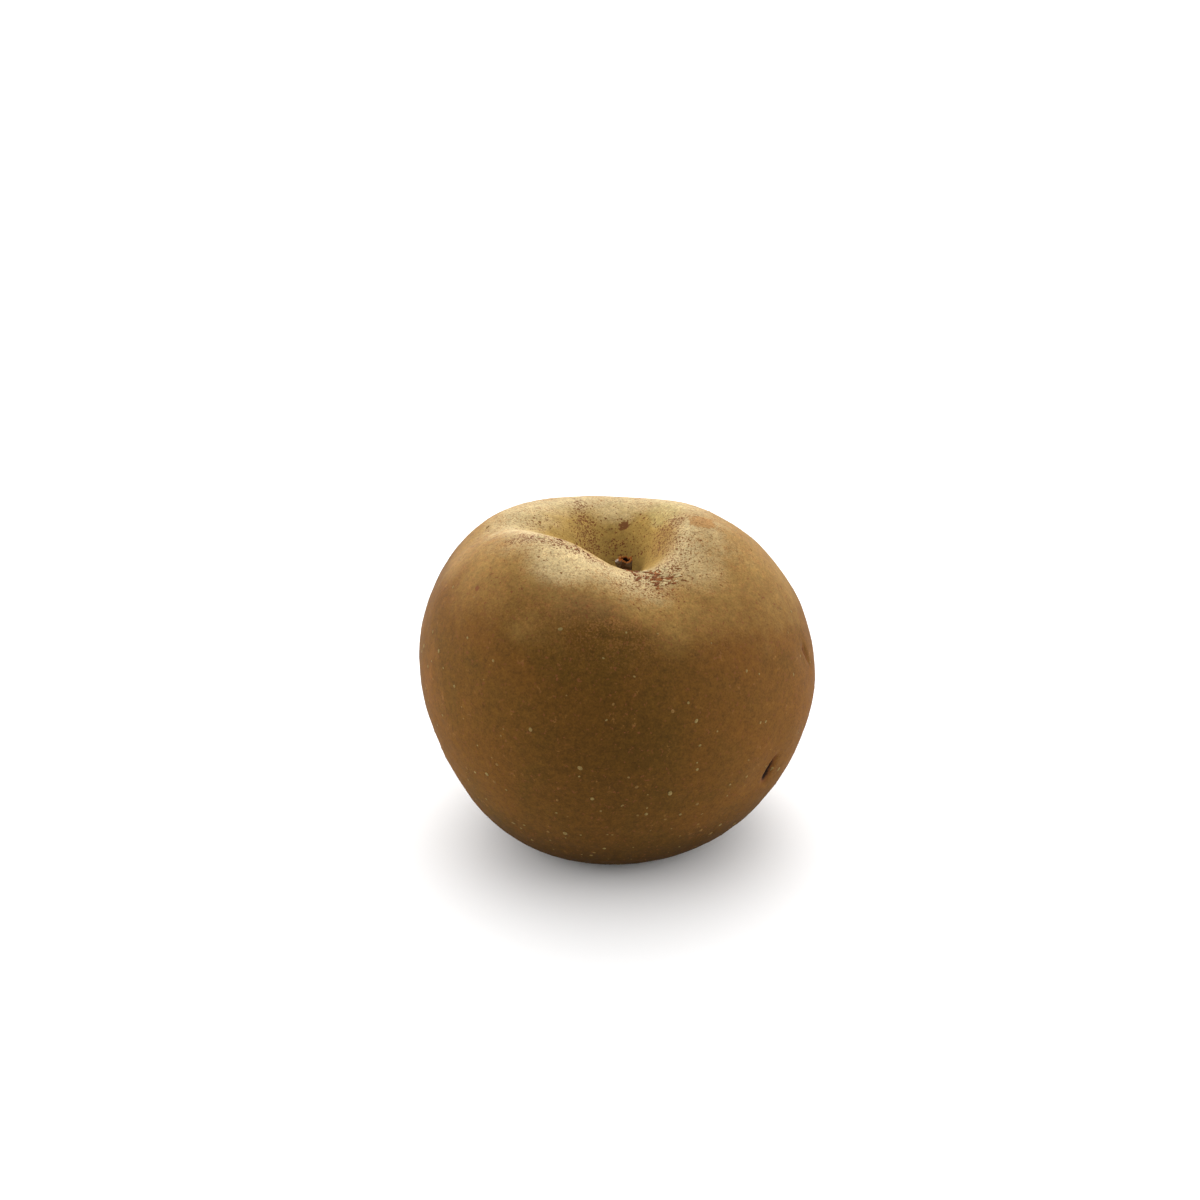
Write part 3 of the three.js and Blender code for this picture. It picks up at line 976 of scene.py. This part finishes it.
def lenticel_finish(skin):
    """Pale corky pore."""
    material, tree, shader, place = new_finish("lenticel_cork", 0.8)
    grain = use_group(tree, "Cork grain", place, Fineness=4200.0, Contrast=0.7)
    rusty = stored(tree, "tint").smooth(0.3, 1.0) * 0.7
    colour = mix_colour(tree, rusty, opaque(skin.lenticel), opaque(skin.rust))
    feed(tree, shader.inputs["Base Color"], toned(tree, colour, grain["Tone"]))
    return material


def flake_finish(skin):
    """Lifted cork flake: dark brown, redder or pale."""
    material, tree, shader, place = new_finish("cork_flake", 0.8)
    grain = use_group(tree, "Cork grain", place, Fineness=3200.0, Contrast=0.9)
    tint = stored(tree, "tint")
    layers = ((tint.smooth(0.25, 0.55), opaque(skin.flake)), (tint.smooth(0.62, 0.72), opaque(skin.cream)))
    colour = layered(tree, opaque(skin.fleck), layers)
    feed(tree, shader.inputs["Base Color"], toned(tree, colour, grain["Tone"]))
    return material


def stem_finish(stem):
    """Weathered bark, orange torn wood at the broken end and a dark pith."""
    material, tree, shader, place = new_finish("stem_wood", 0.85)
    part = stored(tree, "part")
    grain = use_group(tree, "Cork grain", place, Fineness=3600.0, Contrast=1.1)
    grey = use_group(tree, "Cloudy patches", place, Fineness=700.0, Least=0.45, Most=0.62)
    white = near_spot(tree, place, *BLEACHED_SPOT) + (grain["Height"] - 0.5) * 2.0
    layers = (
        (grey["Mask"] * 0.55, opaque(stem.grey_bark)),
        (part.smooth(0.35, 0.7), opaque(stem.broken_wood)),
        (part.smooth(1.15, 1.6), opaque(stem.pith)),
        (white.smooth(0.3, 0.7) * 0.8, opaque(stem.bleached)),
    )
    colour = layered(tree, opaque(stem.bark), layers)
    feed(tree, shader.inputs["Base Color"], toned(tree, colour, grain["Tone"]))
    raise_grain(tree, shader, grain, 0.1 * MM, 0.7)
    return material


def calyx_finish(calyx):
    """Dried brown leaf with grey down."""
    material, tree, shader, place = new_finish("calyx_leaf", 0.85)
    grain = use_group(tree, "Cork grain", place, Fineness=3000.0, Contrast=0.9)
    down = use_group(tree, "Cloudy patches", place, Fineness=520.0, Least=0.42, Most=0.68)
    fuzz = use_group(tree, "Scattered flecks", place, Fineness=3000.0, Share=0.5, Reach=0.5)
    downy = down["Mask"] * (fuzz["Mask"] * 0.5 + 0.3)
    colour = mix_colour(tree, downy, opaque(calyx.dried_leaf), opaque(calyx.down))
    feed(tree, shader.inputs["Base Color"], toned(tree, colour, grain["Tone"]))
    raise_grain(tree, shader, grain, 0.12 * MM, 0.8)
    return material


# Pieces made of rings of points

def skin_through_rings(rings):
    """Vertices and faces of a closed skin through rings of equally many points."""
    sides = len(rings[0])
    points = [point for ring in rings for point in ring]
    faces = []
    for level in range(len(rings) - 1):
        for side in range(sides):
            here = level * sides + side
            beside = level * sides + (side + 1) % sides
            faces.append((here, here + sides, beside + sides, beside))
    last = (len(rings) - 1) * sides
    points.append(sum(rings[0], Vector()) / sides)
    points.append(sum(rings[-1], Vector()) / sides)
    for side in range(sides):
        beside = (side + 1) % sides
        faces.append((len(points) - 2, side, beside))
        faces.append((len(points) - 1, last + beside, last + side))
    return points, faces


def mesh_piece(name, skins, material):
    """One object from several closed skins."""
    mesh = bpy.data.meshes.new(name)
    points = []
    faces = []
    for skin_points, skin_faces in skins:
        first = len(points)
        points.extend(skin_points)
        faces.extend(tuple(corner + first for corner in face) for face in skin_faces)
    mesh.from_pydata(points, [], faces)
    mesh.polygons.foreach_set("use_smooth", [True] * len(mesh.polygons))
    mesh.materials.append(material)
    mesh.update()
    piece = bpy.data.objects.new(name, mesh)
    bpy.context.scene.collection.objects.link(piece)
    return piece


def turns(sides):
    """The angles of equally spaced places round a ring."""
    return [2 * math.pi * side / sides for side in range(sides)]


def stem_rings(fruit, stem):
    """Rings of the stub from the pith over the ragged end down to its foot, and the part of each ring."""
    site = Vector((fruit.axis_site[0] + fruit.stem_site[0], fruit.axis_site[1] + fruit.stem_site[1], 0))
    floor = fruit.crown_height - fruit.hollow_depth
    top = floor + stem.stands
    bottom = floor - fruit.hole_depth + 0.3 * MM
    pith = stem.pith_radius
    thick = stem.radius
    # Radius, level, share of the raggedness, share of the torn bark, and the part: 0 bark, 1 torn wood
    # and 2 pith.
    stations = (
        (0.35 * pith, top - stem.pith_depth, 0.0, 0.0, 2.0),
        (0.75 * pith, top - 0.8 * stem.pith_depth, 0.1, 0.0, 2.0),
        (0.95 * pith, top - 0.4 * stem.pith_depth, 0.3, 0.0, 1.9),
        (1.02 * pith, top - 0.1 * stem.pith_depth, 0.9, 0.0, 1.3),
        (1.08 * pith, top, 1.0, 0.1, 1.0),
        (0.78 * thick, top + 0.05 * MM, 1.0, 0.4, 0.9),
        (0.90 * thick, top - 0.10 * MM, 0.95, 0.7, 0.6),
        (0.96 * thick, top - 0.5 * MM, 0.6, 1.0, 0.1),
        (0.92 * thick, top - 1.4 * MM, 0.2, 0.8, 0.0),
        (0.86 * thick, top - 2.4 * MM, 0.0, 0.2, 0.0),
        (0.90 * thick, top - 3.4 * MM, 0.0, 0.0, 0.0),
        (0.99 * thick, floor + 0.3 * MM, 0.0, 0.0, 0.0),
        (0.99 * thick, bottom + 0.4 * MM, 0.0, 0.0, 0.0),
        (0.80 * thick, bottom, 0.0, 0.0, 0.0),
    )
    levels = []
    for upper, lower in zip(stations, stations[1:]):
        for step in range(STUB_STEPS):
            share = step / STUB_STEPS
            levels.append([a + (b - a) * share for a, b in zip(upper, lower)])
    levels.append(stations[-1])
    rings = []
    parts = []
    for radius, level, ragged, bark, part in levels:
        ring = [stub_point(site, thick, angle, radius, level, ragged, bark) for angle in turns(STUB_SIDES)]
        rings.append(ring)
        parts.append(part)
    return rings, parts


def share_near(angle, at, half_width):
    """1 at a place round the axis, fading over its half width in degrees."""
    turn = angle - math.radians(at)
    away = math.atan2(math.sin(turn), math.cos(turn)) / math.radians(half_width)
    return math.exp(-away * away)


def stub_point(site, thick, angle, radius, level, ragged, bark):
    """A point of the stub, with bark ridges, splintered end and the bark torn away on the left."""
    round_place = Vector((math.cos(angle), math.sin(angle), 0))
    torn = share_near(angle, *BARK_TEAR)
    flare = 1 + bark * 0.55 * torn
    low = share_near(angle, *LOW_END)
    tooth = 0.16 * math.sin(3 * angle + 1) + 0.14 * math.sin(5 * angle) - 0.35 * low
    splinter = 0.45 * noise.noise(round_place * 4.2 + Vector((0, 0, 7))) + 0.35 * bark * torn
    ridge = 0.07 * noise.noise(round_place * 3.4 + Vector((0, 0, level / (2.2 * MM))))
    fibre = 0.035 * noise.noise(round_place * 9.0 + Vector((0, 0, level / (1.1 * MM))))
    wide = radius * flare + thick * (ridge + fibre) * min(1.0, radius / thick)
    height = level + ragged * (tooth + splinter) * MM
    return site + round_place * wide + Vector((0, 0, height))


def sepal_rings(calyx, fruit, centre, sepal):
    """Rings of one dried sepal, from its foot in the cup to its curled tip."""
    turn = 2 * math.pi * (sepal + 0.3) / calyx.sepals
    reach = calyx.sepal_reach + 0.5 * MM * math.cos(2.3 * sepal)
    outward = Vector((math.cos(turn), math.sin(turn), 0))
    across = Vector((-math.sin(turn), math.cos(turn), 0))
    level = fruit.basin_depth
    foot = outward * (1.7 * MM) + Vector((0, 0, level + 0.2 * MM))
    knee = outward * (0.85 * reach) + Vector((0, 0, level - 0.9 * MM))
    tip = outward * reach + Vector((0, 0, level - 3.6 * MM))
    rings = []
    for step in range(SEPAL_STEPS + 1):
        share = step / SEPAL_STEPS
        middle = foot * (1 - share) ** 2 + knee * 2 * share * (1 - share) + tip * share ** 2
        heading = ((knee - foot) * (1 - share) + (tip - knee) * share).normalized()
        up = heading.cross(across)
        half = 0.5 * calyx.sepal_width * (1 - 0.93 * share ** 1.6)
        thick = 0.26 * MM * (1 - 0.45 * share)
        ring = []
        for angle in turns(SEPAL_SIDES):
            wide = half * math.cos(angle)
            crease = 0.30 * MM * (1 - share) * abs(math.cos(angle))
            crease += 0.12 * MM * math.sin(9 * share + sepal)
            crimp = 0.18 * MM * noise.noise(Vector((wide / MM, share * 5, sepal * 3.1)))
            lift = -thick * math.sin(angle) + crease + crimp
            ring.append(centre + middle + across * wide + up * lift)
        rings.append(ring)
    return rings


def eye_cup_rings(fruit, centre):
    """Rings of the cup that fills the recess and is hollow underneath."""
    rim = fruit.eye_radius - 0.3 * MM
    level = fruit.basin_depth
    back = level + fruit.eye_recess - 0.3 * MM
    stations = (
        (0.96 * rim, back),
        (rim, back - 0.1 * MM),
        (rim, level + 0.3 * MM),
        (0.9 * rim, level - 0.15 * MM),
        (0.7 * rim, level - 0.4 * MM),
        (0.52 * rim, level - 0.05 * MM),
        (0.4 * rim, level + 0.4 * MM),
        (0.15 * rim, level + 1.2 * MM),
    )
    rings = []
    for radius, height in stations:
        ring = []
        for angle in turns(CUP_SIDES):
            way = Vector((math.cos(angle), math.sin(angle), 0))
            wrinkle = 1 - 0.05 * abs(noise.noise(way * 5))
            ring.append(centre + way * (radius * wrinkle) + Vector((0, 0, height)))
        rings.append(ring)
    return rings


def stamen_rings(fruit, centre, stamen):
    """Rings of one dried stamen in the eye, with a knob near its end."""
    turn = 2.4 * stamen
    lean = 0.5 + 0.35 * math.sin(1.7 * stamen)
    level = fruit.basin_depth + 0.9 * MM
    root = centre + Vector((0.9 * MM * math.cos(turn), 0.9 * MM * math.sin(turn), level))
    way = Vector((lean * math.cos(turn + 0.4), lean * math.sin(turn + 0.4), -1)).normalized()
    across = way.orthogonal().normalized()
    beside = way.cross(across)
    length = (2.0 + 0.5 * math.cos(3.1 * stamen)) * MM
    rings = []
    for step in range(STAMEN_STEPS + 1):
        share = step / STAMEN_STEPS
        knob = 0.12 if step == STAMEN_STEPS - 1 else 0
        radius = (0.13 - 0.05 * share + knob) * MM
        middle = root + way * (length * share)
        ring = [middle + (across * math.cos(a) + beside * math.sin(a)) * radius for a in turns(STAMEN_SIDES)]
        rings.append(ring)
    return rings


# Operators

def own_settings(group):
    """The settings of a group, without those that every group has."""
    return [setting for setting in group.bl_rna.properties if setting.identifier not in {"rna_type", "name"}]


class APPLE_OT_fruit(bpy.types.Operator):
    """Grow the fruit's skin"""

    bl_idname = "apple.fruit"
    bl_label = "Fruit"

    def execute(self, context):
        apple = context.scene.russet_apple
        values = {"Material": russet_skin_finish(apple.skin)}
        for setting in own_settings(apple.fruit):
            value = getattr(apple.fruit, setting.identifier)
            values[setting.name] = (*value, 0.0) if setting.is_array else value
        skin = grow("fruit_skin", fruit_skin_tree(), values)
        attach(skin, "root")
        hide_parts("fruit")
        return {"FINISHED"}


class APPLE_OT_lenticels(bpy.types.Operator):
    """Scatter pale pores over the skin"""

    bl_idname = "apple.lenticels"
    bl_label = "Lenticels"

    def execute(self, context):
        finish = context.scene.russet_apple.skin
        values = {
            "Skin": bpy.data.objects["fruit_skin"],
            "Radius": finish.lenticel_radius,
            "Density": finish.lenticel_density,
            "Seed": LENTICEL_SEED,
            "Material": lenticel_finish(finish),
        }
        tree = speck_tree("Lenticels", pore_bead, lenticel_density, (0.8, 1.5), 0.18, twist=3.0, tilt=0.0)
        pores = grow("lenticels", tree, values)
        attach(pores, "root")
        return {"FINISHED"}


class APPLE_OT_flakes(bpy.types.Operator):
    """Lift cork flakes on the low front rim"""

    bl_idname = "apple.flakes"
    bl_label = "Cork Flakes"

    def execute(self, context):
        finish = context.scene.russet_apple.skin
        values = {
            "Skin": bpy.data.objects["fruit_skin"],
            "Radius": finish.flake_radius,
            "Density": finish.flake_density,
            "Seed": FLAKE_SEED,
            "Material": flake_finish(finish),
        }
        tree = speck_tree("Cork flakes", chip_bead, flake_density, (1.3, 3.6), 0.5, twist=0.4, tilt=0.25)
        flakes = grow("cork_flakes", tree, values)
        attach(flakes, "root")
        return {"FINISHED"}


class APPLE_OT_stem(bpy.types.Operator):
    """Stand the broken stem in its hole"""

    bl_idname = "apple.stem"
    bl_label = "Stem"

    def execute(self, context):
        apple = context.scene.russet_apple
        rings, parts = stem_rings(apple.fruit, apple.stem)
        stub = mesh_piece("stem_stub", [skin_through_rings(rings)], stem_finish(apple.stem))
        marks = [part for part in parts for _ in range(STUB_SIDES)] + [parts[0], parts[-1]]
        stub.data.attributes.new("part", "FLOAT", "POINT").data.foreach_set("value", marks)
        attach(stub, "root")
        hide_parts("stem")
        return {"FINISHED"}


class APPLE_OT_calyx(bpy.types.Operator):
    """Set the dried calyx in the eye"""

    bl_idname = "apple.calyx"
    bl_label = "Calyx"

    def execute(self, context):
        apple = context.scene.russet_apple
        fruit = apple.fruit
        form = apple.calyx
        lean = (fruit.basin_depth / fruit.crown_height) ** 2
        x = fruit.axis_site[0] + fruit.lean[0] * lean
        y = fruit.axis_site[1] + fruit.lean[1] * lean
        centre = Vector((x, y, 0))
        skins = [skin_through_rings(eye_cup_rings(fruit, centre))]
        for sepal in range(form.sepals):
            skins.append(skin_through_rings(sepal_rings(form, fruit, centre, sepal)))
        for stamen in range(form.stamens):
            skins.append(skin_through_rings(stamen_rings(fruit, centre, stamen)))
        calyx = mesh_piece("dried_calyx", skins, calyx_finish(form))
        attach(calyx, "root")
        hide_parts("calyx")
        return {"FINISHED"}


class APPLE_OT_studio(bpy.types.Operator):
    """Lay the pale floor, light it and set the camera"""

    bl_idname = "apple.studio"
    bl_label = "Studio"

    def execute(self, context):
        scene = context.scene
        setup = scene.russet_apple.studio
        half = setup.floor_size / 2
        square = ((-half, -half), (half, -half), (half, half), (-half, half))
        corners = [Vector((x, y, 0)) for x, y in square]
        paper, tree, shader, place = new_finish("studio_paper", 0.9)
        fibre = noise_field(tree, place, PAPER_CLOUD) + 0.5
        colour = mix_colour(tree, fibre, opaque(setup.paper), opaque(setup.paper_fibre))
        feed(tree, shader.inputs["Base Color"], colour)
        floor = mesh_piece("studio_floor", [(corners, [(0, 1, 2, 3)])], paper)

        # Soft light from both sides, from the backdrop and from above, and none from the front.
        world = bpy.data.worlds.new("studio")
        scene.world = world
        world.use_nodes = True
        tree = world.node_tree
        backdrop = tree.nodes["Background"]
        aside, behind, above = apart(tree, add(tree, "ShaderNodeTexCoord").outputs["Generated"])
        sideways = aside * aside
        side_light = sideways ** 3.0 * setup.side_light + sideways * setup.side_spill
        back_light = behind.math("MAXIMUM", 0.0) ** 2.0 * setup.back_light
        top_light = above.math("MAXIMUM", 0.0) ** 10.0 * setup.top_light
        light = side_light + back_light + top_light

        # The camera itself sees plain white.
        seen = Field(tree, add(tree, "ShaderNodeLightPath").outputs["Is Camera Ray"])
        feed(tree, backdrop.inputs["Strength"], light + (1.0 - light) * seen)
        backdrop.inputs["Color"].default_value = (1, 1, 1, 1)

        view = bpy.data.cameras.new("photo_view")
        view.lens = setup.lens
        view.sensor_width = SENSOR_WIDTH
        view.clip_start = 10 * MM
        camera = bpy.data.objects.new("photo_view", view)
        camera.location = setup.camera_site
        camera.rotation_euler = (math.pi / 2 - setup.camera_down, 0, 0)
        scene.collection.objects.link(camera)
        scene.camera = camera
        scene.view_settings.view_transform = "Standard"
        return {"FINISHED"}


class APPLE_PT_panel(bpy.types.Panel):
    """Buttons and sizes of the apple"""

    bl_label = "Russet Apple"
    bl_idname = "APPLE_PT_panel"
    bl_space_type = "VIEW_3D"
    bl_region_type = "UI"
    bl_category = "Apple"

    def draw(self, context):
        for operator in OPERATORS:
            self.layout.operator(operator.bl_idname)
        apple = context.scene.russet_apple
        for group in (apple.fruit, apple.skin, apple.stem, apple.calyx, apple.studio):
            box = self.layout.box()
            box.label(text=group.bl_rna.description)
            for setting in own_settings(group):
                box.prop(group, setting.identifier)


GROUPS = (FruitForm, SkinFinish, StemForm, CalyxForm, StudioSetup, AppleSettings)
OPERATORS = (
    APPLE_OT_fruit,
    APPLE_OT_lenticels,
    APPLE_OT_flakes,
    APPLE_OT_stem,
    APPLE_OT_calyx,
    APPLE_OT_studio,
)


def register():
    for made in (*GROUPS, *OPERATORS, APPLE_PT_panel):
        bpy.utils.register_class(made)
    bpy.types.Scene.russet_apple = PointerProperty(type=AppleSettings)


def unregister():
    del bpy.types.Scene.russet_apple
    for made in reversed((*GROUPS, *OPERATORS, APPLE_PT_panel)):
        bpy.utils.unregister_class(made)


def main():
    register()
    bpy.ops.apple.fruit()
    bpy.ops.apple.lenticels()
    bpy.ops.apple.flakes()
    bpy.ops.apple.stem()
    bpy.ops.apple.calyx()
    bpy.ops.apple.studio()


if __name__ == "__main__":
    main()
